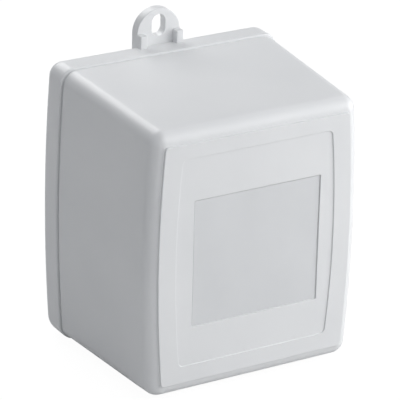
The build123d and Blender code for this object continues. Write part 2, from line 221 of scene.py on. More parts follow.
def closed_surface(rings: np.ndarray) -> Surface:
    """Joins rings into a closed surface with a pole at each end.

    Args:
        rings: points of shape (rings, points, 3).

    Returns:
        Points of shape (n, 3) and the faces over them.
    """
    count, around = rings.shape[:2]
    start = count * around
    near = np.arange(around)
    far = (near + 1) % around
    last = (count - 1) * around
    first_fan = np.stack([np.full(around, start), far, near], axis=1)
    last_fan = np.stack([last + near, last + far, np.full(around, start + 1)], axis=1)
    points = np.concatenate([rings.reshape(-1, 3), rings[0].mean(0)[None], rings[-1].mean(0)[None]])
    return points, [*ring_quads(count, around), *first_fan.tolist(), *last_fan.tolist()]


def solid_blocks(corners: np.ndarray) -> Surface:
    """Six-sided blocks.

    Args:
        corners: shape (blocks, 2, 2, 2, 3), indexed by the end along x, along y and along z.

    Returns:
        Points and faces of all the blocks.
    """
    faces = np.array(
        [[0, 1, 3, 2], [4, 6, 7, 5], [0, 4, 5, 1], [2, 3, 7, 6], [0, 2, 6, 4], [1, 5, 7, 3]]
    )
    blocks = corners.reshape(-1, 8, 3)
    shifts = 8 * np.arange(len(blocks))[:, None, None]
    return blocks.reshape(-1, 3), (faces[None] + shifts).reshape(-1, 4).tolist()


def boxes(lows: Sequence[Sequence[float]], highs: Sequence[Sequence[float]]) -> np.ndarray:
    """Corners of straight boxes: low + share (high - low) with each share 0 or 1.

    Args:
        lows: lowest corner of each box.
        highs: highest corner of each box.

    Returns:
        Corners in the form that solid_blocks takes.
    """
    share = np.stack(np.meshgrid([0, 1], [0, 1], [0, 1], indexing="ij"), axis=-1)
    low = np.asarray(lows, float)[:, None, None, None]
    high = np.asarray(highs, float)[:, None, None, None]
    return low + share[None] * (high - low)


def turned(profile: Sequence[tuple[float, float]], around: int = 64) -> np.ndarray:
    """Turns a profile about +Z: a point (r, h) becomes (r cos a, r sin a, h).

    Args:
        profile: radius and height of each point, from the bottom up.
        around: points in a full turn.

    Returns:
        Rings of points of shape (profile, around, 3).
    """
    radius, height = np.asarray(profile, float).T[:, :, None]
    angle = np.linspace(0, 2 * math.pi, around, endpoint=False)[None]
    return np.stack([radius * np.cos(angle), radius * np.sin(angle), height + 0 * angle], axis=2)


def quarter(start: float, end: float, count: int) -> tuple[np.ndarray, np.ndarray]:
    """Cosines and sines of evenly spread angles.

    Args:
        start: first angle in degrees.
        end: last angle in degrees.
        count: number of angles.

    Returns:
        The cosines and the sines.
    """
    angle = np.radians(np.linspace(start, end, count))
    return np.cos(angle), np.sin(angle)


def rounded_edge(start: float, level: float, radius: float, count: int) -> tuple[np.ndarray, np.ndarray]:
    """Wall along the depth and the round from it to a flat face.

    At an angle a from 180 to 90 degrees the round has moved in by r (1 + cos a) and lies r (1 - sin a)
    behind the face.

    Args:
        start: depth where the wall starts.
        level: depth of the flat face.
        radius: radius of the round.
        count: points on the round.

    Returns:
        The depth of each point, and how far it has moved in.
    """
    across, up = quarter(180, 90, count)
    depths = np.concatenate([[start], level - radius * (1 - up)])
    return depths, np.concatenate([[0.0], radius * (1 + across)])


def step_section(foot: float, brow: float, rise: float, lean: float = 0.06) -> tuple[np.ndarray, np.ndarray]:
    """Section of a small moulded step, from its foot up to its brow.

    The foot is a quarter round that starts at the lower face, the wall leans in by a share of its height,
    and the brow is a quarter round that ends in the upper face.

    Args:
        foot: radius at the foot.
        brow: radius at the brow.
        rise: height of the step.
        lean: how much the wall leans in for each unit of height.

    Returns:
        How far each point has moved in from the step's outline, and its height.
    """
    foot_across, foot_up = quarter(270, 360, 5)
    brow_across, brow_up = quarter(180, 90, 6)
    moved = np.concatenate([foot * (foot_across - 1), brow * (1 + brow_across)])
    height = np.concatenate([foot * (1 + foot_up), rise - brow * (1 - brow_up)])
    return moved + lean * height, height


# meshes


def new_piece(name: str, surface: Surface) -> Piece:
    """Makes a mesh object at the origin from a surface in millimetres.

    Args:
        name: name of the piece.
        surface: points and faces.

    Returns:
        The object, linked to the scene.
    """
    points, faces = surface
    mesh = bpy.data.meshes.new(name)
    mesh.from_pydata((np.asarray(points) * MM).tolist(), [], faces)
    mesh.validate()
    piece = bpy.data.objects.new(name, mesh)
    bpy.context.scene.collection.objects.link(piece)
    return piece


def combine(piece: Piece, surface: Surface, how: Cut) -> None:
    """Adds a closed shape to a piece, or removes it, with the exact solver, and keeps the result.

    Args:
        piece: piece that is changed.
        surface: points and faces of the other shape, which may cross itself.
        how: whether the shape is added or removed.
    """
    tool = new_piece(piece.name + "_tool", surface)
    modifier = piece.modifiers.new("combine", "BOOLEAN")
    modifier.operation = how.value
    modifier.solver = "EXACT"
    modifier.use_self = True
    modifier.object = tool
    graph = bpy.context.evaluated_depsgraph_get()
    result = bpy.data.meshes.new_from_object(piece.evaluated_get(graph))
    piece.modifiers.clear()
    old = piece.data
    piece.data = result
    bpy.data.meshes.remove(old)
    tool_mesh = tool.data
    bpy.data.objects.remove(tool)
    bpy.data.meshes.remove(tool_mesh)
    piece.data.name = piece.name


def smooth(piece: Piece, sharp: float = 32.0, bevel: float = 0.0, weld: bool = False) -> None:
    """Shades a piece smoothly up to an angle and rounds its edges, and its flat faces keep straight normals.

    Args:
        piece: piece to shade.
        sharp: angle in degrees past which an edge stays crisp.
        bevel: width of the round on crisp edges, in millimetres, or 0 for none.
        weld: joins loose triangles and flat faces first, as a frame node needs.
    """
    if weld:
        join = piece.modifiers.new("join", "WELD")
        join.merge_threshold = 1e-6
        flat = piece.modifiers.new("flat", "DECIMATE")
        flat.decimate_type = "DISSOLVE"
        flat.angle_limit = math.radians(0.4)
    else:
        piece.data.polygons.foreach_set("use_smooth", np.ones(len(piece.data.polygons), bool))
        if not bevel:
            piece.data.set_sharp_from_angle(angle=math.radians(sharp))
    if bevel:
        edge = piece.modifiers.new("edge", "BEVEL")
        edge.width = bevel * MM
        edge.segments = 3
        edge.limit_method = "ANGLE"
        edge.angle_limit = math.radians(sharp)
        edge.harden_normals = True
    else:
        even = piece.modifiers.new("even", "WEIGHTED_NORMAL")
        even.keep_sharp = True
        even.weight = 80


# finishes


class Graph:
    """A node tree while it is being made."""

    def __init__(self, owner: Material | bpy.types.World) -> None:
        """Starts with an empty tree."""
        owner.use_nodes = True
        self.tree = owner.node_tree
        self.tree.nodes.clear()

    def add(self, kind: str, **values: object) -> bpy.types.Node:
        """Adds a node.

        Args:
            kind: the node's type.
            values: input values by socket name, with spaces written as underscores.

        Returns:
            The node.
        """
        node = self.tree.nodes.new(kind)
        for name, value in values.items():
            node.inputs[name.replace("_", " ")].default_value = value
        return node

    def join(self, source: Socket, target: Socket) -> None:
        """Links an output to an input."""
        self.tree.links.new(source, target)

    def calculate(self, operation: str, first: Socket, second: Socket | float) -> Socket:
        """Combines two numbers.

        Args:
            operation: name of the operation.
            first: first number.
            second: second number, linked or constant.

        Returns:
            The result.
        """
        node = self.add("ShaderNodeMath")
        node.operation = operation
        self.join(first, node.inputs[0])
        if isinstance(second, float):
            node.inputs[1].default_value = second
        else:
            self.join(second, node.inputs[1])
        return node.outputs[0]

    def mix(self, share: Socket, first: Socket, second: Socket) -> Socket:
        """Mixes two shaders.

        Args:
            share: weight of the second shader.
            first: first shader.
            second: second shader.

        Returns:
            The mixed shader.
        """
        node = self.add("ShaderNodeMixShader")
        for source, target in zip((share, first, second), node.inputs):
            self.join(source, target)
        return node.outputs[0]


class Sheet(Graph):
    """The node tree of a finish, with its surface shader and object coordinates."""

    def __init__(self, name: str) -> None:
        """Starts a new material with its surface shader and output."""
        self.material = bpy.data.materials.new(name)
        super().__init__(self.material)
        self.shader = self.add("ShaderNodeBsdfPrincipled")
        output = self.add("ShaderNodeOutputMaterial")
        self.join(self.shader.outputs["BSDF"], output.inputs["Surface"])
        self.place = self.add("ShaderNodeTexCoord").outputs["Object"]

    def stretched(self, scale: Colour) -> Socket:
        """Object coordinates multiplied by a scale for each axis."""
        mapping = self.add("ShaderNodeMapping", Scale=scale)
        self.join(self.place, mapping.inputs["Vector"])
        return mapping.outputs["Vector"]

    def noise(
        self, size: float, detail: float = 2.0, rough: float = 0.5, place: Socket | None = None
    ) -> Socket:
        """Noise whose features are about a size across.

        Args:
            size: feature size in millimetres.
            detail: number of finer layers.
            rough: weight of the finer layers.
            place: coordinates, or object coordinates if left out.

        Returns:
            The noise's value.
        """
        node = self.add("ShaderNodeTexNoise", Scale=1 / (size * MM), Detail=detail, Roughness=rough)
        self.join(place or self.place, node.inputs["Vector"])
        return node.outputs["Fac"]

    def ranged(self, value: Socket, low: float, high: float, band: float = 0.22) -> Socket:
        """Maps the middle band of a noise to a range.

        Args:
            value: value from 0 to 1 with its mean near 0.5.
            low: result at the band's lower end.
            high: result at the band's upper end.
            band: half width of the band.

        Returns:
            The mapped value.
        """
        node = self.add(
            "ShaderNodeMapRange", From_Min=0.5 - band, From_Max=0.5 + band, To_Min=low, To_Max=high
        )
        self.join(value, node.inputs["Value"])
        return node.outputs["Result"]

    def tint(self, value: Socket, dark: Colour, light: Colour, band: float = 0.22) -> Socket:
        """Blends two colours by the middle band of a noise.

        Args:
            value: value from 0 to 1 with its mean near 0.5.
            dark: colour at the band's lower end.
            light: colour at the band's upper end.
            band: half width of the band.

        Returns:
            The colour.
        """
        node = self.add("ShaderNodeValToRGB")
        ends = node.color_ramp.elements
        ends[0].position, ends[1].position = 0.5 - band, 0.5 + band
        ends[0].color, ends[1].color = (*dark, 1), (*light, 1)
        self.join(value, node.inputs["Fac"])
        return node.outputs["Color"]

    def bump(self, height: Socket, depth: float, after: Socket | None = None) -> Socket:
        """Bumps the surface.

        Args:
            height: height from 0 to 1.
            depth: depth of the bumps in millimetres.
            after: normal that these bumps are laid over.

        Returns:
            The normal.
        """
        node = self.add("ShaderNodeBump", Strength=1.0, Distance=depth * MM)
        self.join(height, node.inputs["Height"])
        if after is not None:
            self.join(after, node.inputs["Normal"])
        return node.outputs["Normal"]

    def finish(self, colour: Socket, roughness: Socket, normal: Socket, **values: object) -> Material:
        """Joins colour, roughness and normal to the shader and sets its plain values.

        Args:
            colour: base colour.
            roughness: roughness.
            normal: normal.
            values: other input values by socket name.

        Returns:
            The finished material.
        """
        self.join(colour, self.shader.inputs["Base Color"])
        self.join(roughness, self.shader.inputs["Roughness"])
        self.join(normal, self.shader.inputs["Normal"])
        for name, value in values.items():
            self.shader.inputs[name.replace("_", " ")].default_value = value
        return self.material


@dataclass(frozen=True)
class MouldedPlastic:
    """Moulded plastic: a spark-eroded grain, slow flow marks and gloss that varies a little."""

    name: str
    dark: Colour
    light: Colour
    gloss: tuple[float, float]
    grain_size: float = 0.22
    grain_depth: float = 0.004
    flow_size: float = 24.0
    flow_depth: float = 0.02
    specular: float = 0.5

    def build(self) -> Material:
        """Makes the material."""
        sheet = Sheet(self.name)
        flow = sheet.noise(self.flow_size, detail=1.5)
        grain = sheet.noise(self.grain_size, detail=3.0, rough=0.6)
        cloud = sheet.noise(self.flow_size / 6, detail=3.0)
        colour = sheet.tint(flow, self.dark, self.light)
        roughness = sheet.ranged(cloud, *self.gloss)
        normal = sheet.bump(grain, self.grain_depth, after=sheet.bump(flow, self.flow_depth))
        return sheet.finish(colour, roughness, normal, Specular_IOR_Level=self.specular)


@dataclass(frozen=True)
class FilmLabel:
    """Matt polyester label film with a faint weave of its top coat and a thin clear edge."""

    name: str
    dark: Colour
    light: Colour
    gloss: tuple[float, float] = (0.42, 0.55)
    coat: float = 0.15
    slow_size: float = 14.0
    slow_depth: float = 0.012
    weave_size: float = 0.12
    weave_depth: float = 0.0015
    streak_along: Colour = (0.25, 1.0, 2.5)

    def build(self) -> Material:
        """Makes the material."""
        sheet = Sheet(self.name)
        slow = sheet.noise(self.slow_size)
        weave = sheet.noise(self.weave_size, rough=0.7)
        streak = sheet.noise(1.0, place=sheet.stretched(self.streak_along))
        colour = sheet.tint(slow, self.dark, self.light)
        roughness = sheet.ranged(streak, *self.gloss)
        normal = sheet.bump(weave, self.weave_depth, after=sheet.bump(slow, self.slow_depth))
        return sheet.finish(colour, roughness, normal, Coat_Weight=self.coat, Coat_Roughness=0.3)


@dataclass(frozen=True)
class WorkedMetal:
    """Rolled or plated metal with drawing lines along one axis, small pits and dulled patches."""

    name: str
    dark: Colour
    light: Colour
    gloss: tuple[float, float]
    along: Colour = (1.0, 0.08, 1.0)
    line_size: float = 0.12
    line_depth: float = 0.003
    metal: float = 1.0
    patch_size: float = 2.6

    def build(self) -> Material:
        """Makes the material."""
        sheet = Sheet(self.name)
        lines = sheet.noise(self.line_size, detail=4.0, rough=0.65, place=sheet.stretched(self.along))
        patch = sheet.noise(self.patch_size, detail=3.0)
        colour = sheet.tint(patch, self.dark, self.light)
        roughness = sheet.ranged(patch, *self.gloss)
        normal = sheet.bump(lines, self.line_depth)
        return sheet.finish(colour, roughness, normal, Metallic=self.metal)


@dataclass(frozen=True)
class WoundWire:
    """Turns of wire or tape side by side along x, with some turns darker than others."""

    name: str
    dark: Colour
    light: Colour
    gloss: tuple[float, float]
    pitch: float
    turn_depth: float
    metal: float = 0.0
    coat: float = 0.0
    along: Colour = (1.0, 0.03, 0.03)

    def build(self) -> Material:
        """Makes the material. A wave of scale s repeats every 2 pi / (20 s)."""
        sheet = Sheet(self.name)
        wave = sheet.add(
            "ShaderNodeTexWave",
            Scale=2 * math.pi / (20 * self.pitch * MM),
            Distortion=0.35,
            Detail=1.0,
            Detail_Scale=0.4,
        )
        wave.wave_profile = "SIN"
        sheet.join(sheet.place, wave.inputs["Vector"])
        turns = sheet.noise(self.pitch * 1.5, detail=1.0, place=sheet.stretched(self.along))
        colour = sheet.tint(turns, self.dark, self.light)
        roughness = sheet.ranged(turns, *self.gloss)
        normal = sheet.bump(wave.outputs["Fac"], self.turn_depth)
        return sheet.finish(colour, roughness, normal, Metallic=self.metal, Coat_Weight=self.coat)


@dataclass(frozen=True)
class PressedFibre:
    """Pressed board or foam: short fibres that lie along x, with specks."""

    name: str
    dark: Colour
    light: Colour
    gloss: tuple[float, float] = (0.75, 0.9)
    fibre_size: float = 0.25
    fibre_depth: float = 0.02
    along: Colour = (0.2, 1.0, 1.0)
    speck_size: float = 0.8

    def build(self) -> Material:
        """Makes the material."""
        sheet = Sheet(self.name)
        fibre = sheet.noise(self.fibre_size, detail=5.0, rough=0.7, place=sheet.stretched(self.along))
        speck = sheet.noise(self.speck_size, detail=4.0, rough=0.8)
        colour = sheet.tint(speck, self.dark, self.light, band=0.15)
        roughness = sheet.ranged(fibre, *self.gloss)
        return sheet.finish(colour, roughness, sheet.bump(fibre, self.fibre_depth))


FINISHES = {
    Slot.CASE: MouldedPlastic("case_plastic", (0.778, 0.786, 0.792), (0.808, 0.814, 0.818), (0.31, 0.40)),
    Slot.LABEL: FilmLabel("label_film", (0.690, 0.699, 0.708), (0.718, 0.727, 0.735)),
    Slot.BLADE: WorkedMetal("blade_brass", (0.58, 0.37, 0.085), (0.70, 0.47, 0.14), (0.18, 0.32)),
    Slot.NYLON: MouldedPlastic("moulded_nylon", (0.66, 0.66, 0.60), (0.74, 0.74, 0.67), (0.38, 0.52)),
    Slot.STEEL: WorkedMetal("screw_steel", (0.50, 0.51, 0.52), (0.66, 0.67, 0.68), (0.22, 0.38), (1, 1, 0.2)),
    Slot.PLATED: WorkedMetal(
        "plated_brass", (0.66, 0.66, 0.64), (0.76, 0.76, 0.74), (0.18, 0.32), (0.1, 1, 1)
    ),
    Slot.CORE: WorkedMetal("core_steel", (0.10, 0.10, 0.11), (0.22, 0.22, 0.24), (0.35, 0.6), metal=0.7),
    Slot.COPPER: WoundWire(
        "winding_wire", (0.30, 0.07, 0.02), (0.52, 0.16, 0.05), (0.25, 0.4), 0.42, 0.12, 0.6, 0.5
    ),
    Slot.TAPE: WoundWire(
        "winding_tape", (0.72, 0.52, 0.08), (0.82, 0.62, 0.12), (0.22, 0.34), 9.0, 0.05, 0.0, 0.3
    ),
    Slot.CAN: WorkedMetal("cutoff_can", (0.52, 0.53, 0.55), (0.66, 0.67, 0.69), (0.25, 0.4), (0.1, 1, 1)),
    Slot.BLACK_LEAD: MouldedPlastic(
        "black_insulation", (0.015, 0.015, 0.016), (0.025, 0.025, 0.026), (0.3, 0.42)
    ),
    Slot.WHITE_LEAD: MouldedPlastic("white_insulation", (0.72, 0.72, 0.70), (0.80, 0.80, 0.78), (0.3, 0.42)),
    Slot.YELLOW_LEAD: MouldedPlastic(
        "yellow_insulation", (0.78, 0.55, 0.03), (0.84, 0.62, 0.05), (0.3, 0.42)
    ),
    Slot.CARD: PressedFibre("insulation_board", (0.24, 0.22, 0.20), (0.34, 0.32, 0.29)),
    Slot.PAD: PressedFibre(
        "core_pad_foam", (0.05, 0.05, 0.05), (0.09, 0.09, 0.09), fibre_size=0.6, along=(1, 1, 1)
    ),
}


class Wardrobe:
    """Makes each finish once and hands it out by slot."""

    def __init__(self) -> None:
        """Starts with nothing made."""
        self.made: dict[Slot, Material] = {}

    def material(self, slot: Slot) -> Material:
        """The slot's material, made at its first use."""
        if slot not in self.made:
            self.made[slot] = FINISHES[slot].build()
        return self.made[slot]

    def dress(self, piece: Piece, slot: Slot, *stands_for: str) -> None:
        """Gives a new piece its finish and its place on the frame.

        Args:
            piece: the new piece.
            slot: slot of its finish.
            stands_for: frame nodes that the piece replaces.
        """
        piece.data.materials.clear()
        piece.data.materials.append(self.material(slot))
        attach(piece, BODY)
        if stands_for:
            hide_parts(*stands_for)
        LOG.info("%s: %d faces, finish %s", piece.name, len(piece.data.polygons), slot.value)

    def paint_node(self, name: str, slot: Slot) -> None:
        """Gives a frame node that stays in view its finish.

        Args:
            name: the node's name.
            slot: slot of its finish.
        """
        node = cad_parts[name]
        if not node.material_slots:
            node.data.materials.append(None)
        for holder in node.material_slots:
            holder.material = self.material(slot)
        LOG.info("%s: frame node, finish %s", name, slot.value)


# the object's sub-assemblies


@dataclass
class CaseSizes:
    """Sizes that the two halves of the case share."""

    half_width: float = 37.9
    low: float = -43.425
    top: float = 43.425
    side_bow: float = 1.65
    plate_depth: float = 10.0
    plate_proud: float = 0.55
    low_proud: float = 1.4
    back_wall: float = 2.6
    wall: float = 2.3
    frame_depth: float = 59.8
    inner_front: float = 57.2
    side_draft: float = 2.28
    top_draft: float = 2.75
    bottom_draft: float = 0.56
    housing_radius: float = 4.3
    inner_radius: float = 1.0
    core_z: float = -0.675
    core_back: float = 17.75
    core_front: float = 45.75
    core_half_width: float = 27.5
    core_half_height: float = 33.0
    post_size: float = 6.0
    post_inset: float = 1.0
    rib_thickness: float = 1.6
    pad_thickness: float = 0.8

    def share(self, depth: float) -> float:
        """How far a depth lies along the draft, 0 at the plate and 1 at the front frame."""
        return (depth - self.plate_depth) / (self.frame_depth - self.plate_depth)

    def housing_outline(self, depth: float, inset: float = 0.0) -> Outline:
        """Outline of the front housing.

        Args:
            depth: depth of the outline.
            inset: how far it has moved in.

        Returns:
            The outline with its draft taken off.
        """
        share = self.share(depth)
        radius = max(self.housing_radius - inset, self.inner_radius)
        return Outline(
            self.half_width - self.plate_proud - inset - self.side_draft * share,
            self.low + self.low_proud + inset + self.bottom_draft * share,
            self.top - self.plate_proud - inset - self.top_draft * share,
            self.side_bow,
            radius,
            radius,
        )

    def walls(self, depths: Sequence[float], inset: float) -> np.ndarray:
        """Stations of a drafted wall, straight from depth to depth.

        Args:
            depths: depth of each station.
            inset: how far the wall has moved in.

        Returns:
            The stations.
        """
        rows = [self.housing_outline(depth, inset).stations([depth], [0.0]) for depth in depths]
        return np.concatenate(rows)

    def rounded_front(
        self, depth: float, inset: float, radius: float, count: int, limits: Sequence[float] = (99, 99, 99)
    ) -> np.ndarray:
        """Stations of the round between the drafted walls and a flat front.

        With a wall that leans by an angle d, the round's centre lies (r - r sin d) / cos d in from the
        front corner and r behind it, and the round runs from the wall's normal to the front's.

        Args:
            depth: depth of the flat front.
            inset: how far the walls have moved in.
            radius: radius of the round.
            count: number of stations.
            limits: how far in the round may reach at the sides, below and above.

        Returns:
            The stations, from the wall to the front.
        """
        outline = self.housing_outline(depth, inset)
        span = self.frame_depth - self.plate_depth
        moved = []
        for draft, limit in zip((self.side_draft, self.bottom_draft, self.top_draft), limits):
            lean = math.atan(draft / span)
            angle = np.linspace(math.pi - lean, math.pi / 2, count)
            centre = radius * (1 - math.sin(lean)) / math.cos(lean)
            moved.append(np.minimum(centre + radius * np.cos(angle), limit))
        angle = np.linspace(math.pi - math.atan(self.side_draft / span), math.pi / 2, count)
        return outline.stations(depth - radius + radius * np.sin(angle), *moved)

    def post_places(self) -> np.ndarray:
        """x and z of the four posts that press on the core's corners."""
        reach_x = self.core_half_width - self.post_inset - self.post_size / 2
        reach_z = self.core_half_height - self.post_inset - self.post_size / 2
        signs = np.array([[-1, -1], [-1, 1], [1, -1], [1, 1]], float)
        return signs * (reach_x, reach_z) + (0, self.core_z)

    def posts(self, start: float, end: float) -> Surface:
        """Four posts of two crossed ribs.

        Args:
            start: depth at one end.
            end: depth at the other end.

        Returns:
            Points and faces.
        """
        places = self.post_places()
        x, z = places[:, 0], places[:, 1]
        half, thin = self.post_size / 2, self.rib_thickness / 2
        far, near = np.full(4, -end), np.full(4, -start)
        lows = [np.stack([x - a, far, z - b], 1) for a, b in ((thin, half), (half, thin))]
        highs = [np.stack([x + a, near, z + b], 1) for a, b in ((thin, half), (half, thin))]
        return solid_blocks(boxes(np.concatenate(lows), np.concatenate(highs)))


@dataclass
class FrontHousing:
    """Deep moulded shell with its raised panel, the recess in that and the label's own recess."""

    sizes: CaseSizes
    groove_width: float = 0.75
    groove_depths: tuple[float, float, float] = (0.9, 0.5, 0.15)
    front_round: float = 4.0
    round_limits: tuple[float, float, float] = (2.84, 3.54, 3.74)
    inner_round: float = 1.5
    panel_raise: float = 0.6
    panel_margins: tuple[float, float, float] = (3.0, 3.7, 3.9)
    panel_radius: float = 1.2
    recess_depth: float = 0.3
    recess_margins: tuple[float, float, float] = (5.75, 5.4, 4.6)
    recess_radius: float = 1.6
    label_recess: float = 0.5
    label_size: tuple[float, float] = (42.0, 39.3)
    label_x: float = 0.4
    label_drop: float = 0.75
    label_radius: float = 0.4
    brow: float = 0.22
    foot: float = 0.12
    fine_brow: float = 0.12
    fine_foot: float = 0.08
    rib_inset: float = 13.0
    rib_gap: float = 0.15
    rib_sink: float = 0.3
    window: tuple[float, float, float, float] = (16.65, 45.9, 56.0, -37.705)

    def panel(self) -> Outline:
        """Outline of the raised panel."""
        front = self.sizes.housing_outline(self.sizes.frame_depth)
        return front.within(self.panel_margins, self.panel_radius)

    def recess(self) -> Outline:
        """Outline of the shallow recess in the panel."""
        return self.panel().within(self.recess_margins, self.recess_radius)

    def label_place(self, gap: float = 0.0) -> Outline:
        """Outline of the label's recess.

        Args:
            gap: how far the outline has moved in.

        Returns:
            The outline, about x = 0.
        """
        recess = self.recess()
        middle = (recess.low + recess.high) / 2 - self.label_drop
        wide, tall = (size / 2 - gap for size in self.label_size)
        return Outline(wide, middle - tall, middle + tall, STRAIGHT, self.label_radius, self.label_radius)

    def label_floor(self) -> float:
        """Depth of the face that the label is stuck to."""
        return self.sizes.frame_depth + self.panel_raise - self.recess_depth - self.label_recess

    def groove(self, depth: float) -> np.ndarray:
        """Station on the floor of the groove that the seam leaves, shallower at the top than at the sides.

        Args:
            depth: depth of the station.

        Returns:
            The station.
        """
        moved = ([reach] for reach in self.groove_depths)
        return self.sizes.housing_outline(depth).stations([depth], *moved)

    def skin(self) -> Surface:
        """Whole skin of the shell: inside, rim, outside, panel and recesses, as one run of outlines."""
        sizes = self.sizes
        level = sizes.frame_depth
        inside = sizes.rounded_front(sizes.inner_front, sizes.wall, self.inner_round, 6)[::-1]
        inner_back = np.linspace(sizes.inner_front - self.inner_round, sizes.plate_depth, 6)[1:]
        groove_end = sizes.plate_depth + self.groove_width
        outer = np.linspace(groove_end, level - self.front_round, 9)[:-1]
        up, height = step_section(self.foot, self.brow, self.panel_raise)
        down, fall = step_section(self.fine_foot, self.fine_brow, self.recess_depth)
        drop, fall_label = step_section(self.fine_foot, self.fine_brow, self.label_recess)
        panel_level = level + self.panel_raise
        recess_level = panel_level - self.recess_depth
        runs = [
            inside,
            sizes.walls(inner_back, sizes.wall),
            self.groove(sizes.plate_depth),
            self.groove(groove_end),
            sizes.walls(outer, 0.0),
            sizes.rounded_front(level, 0.0, self.front_round, 14, self.round_limits),
            self.panel().stations(level + height, up),
            self.recess().stations(recess_level + fall[::-1], -down[::-1]),
            self.label_place().stations(self.label_floor() + fall_label[::-1], -drop[::-1]),
        ]
        rings = carried_rings(np.concatenate(runs))
        rings[-len(drop):, :, 0] += self.label_x
        return closed_surface(rings)

    def ribs(self) -> Surface:
        """Ribs from the walls to the core, whose outer ends follow the drafted wall's middle."""
        sizes = self.sizes
        depths = np.array([sizes.core_back, sizes.inner_front + OVERLAP])
        outlines = [sizes.housing_outline(depth, sizes.wall / 2) for depth in depths]
        thin = sizes.rib_thickness / 2
        rib_z = sizes.core_half_height - self.rib_inset
        rib_x = sizes.core_half_width - sizes.post_inset - sizes.post_size / 2
        side_start = sizes.core_half_width + self.rib_gap
        end_start = sizes.core_half_height + self.rib_gap
        blocks = boxes(np.zeros((8, 3)), np.ones((8, 3)))
        widths = np.array([outline.half_width - self.rib_sink for outline in outlines])[::-1]
        lows = np.array([outline.low for outline in outlines])[::-1]
        highs = np.array([outline.high for outline in outlines])[::-1]
        blocks[..., 0, :, 1] = -depths[1]
        blocks[..., 1, :, 1] = -depths[0]
        for index, (way, place) in enumerate(((-1, -1), (-1, 1), (1, -1), (1, 1))):
            centre = sizes.core_z + place * rib_z
            near, far = (1, 0) if way < 0 else (0, 1)
            blocks[index, near, :, :, 0] = way * side_start
            blocks[index, far, :, :, 0] = way * widths[:, None]
            blocks[index, :, :, 0, 2] = centre - thin
            blocks[index, :, :, 1, 2] = centre + thin
            ends = lows if way < 0 else highs
            blocks[4 + index, :, :, near, 2] = sizes.core_z + way * end_start
            blocks[4 + index, :, :, far, 2] = ends[None]
            blocks[4 + index, 0, :, :, 0] = place * rib_x - thin
            blocks[4 + index, 1, :, :, 0] = place * rib_x + thin
        return solid_blocks(blocks)

    def build(self, wardrobe: Wardrobe) -> None:
        """Makes the shell, its ribs and posts and the terminal block's window.

        Args:
            wardrobe: where the finishes come from.
        """
        sizes = self.sizes
        shell = new_piece("case_front", self.skin())
        combine(shell, self.ribs(), Cut.ADD)
        combine(shell, sizes.posts(sizes.core_front, sizes.inner_front + OVERLAP), Cut.ADD)
        half, back, front, roof = self.window
        combine(shell, solid_blocks(boxes([(-half, -front, sizes.low)], [(half, -back, roof)])), Cut.REMOVE)
        smooth(shell)
        wardrobe.dress(shell, Slot.CASE, "front_housing")


@dataclass
class RatingLabel:
    """Bare film label in its recess."""

    housing: FrontHousing
    gap: float = 0.25
    thickness: float = 0.2
    edge_round: float = 0.07

    def build(self, wardrobe: Wardrobe) -> None:
        """Makes the film with its rounded front edge.

        Args:
            wardrobe: where the finishes come from.
        """
        outline = self.housing.label_place(self.gap)
        floor = self.housing.label_floor()
        section = rounded_edge(floor, floor + self.thickness, self.edge_round, 5)
        rings = carried_rings(outline.stations(*section))
        rings[..., 0] += self.housing.label_x
        label = new_piece("label_film", closed_surface(rings))
        smooth(label)
        wardrobe.dress(label, Slot.LABEL, "rating_label")


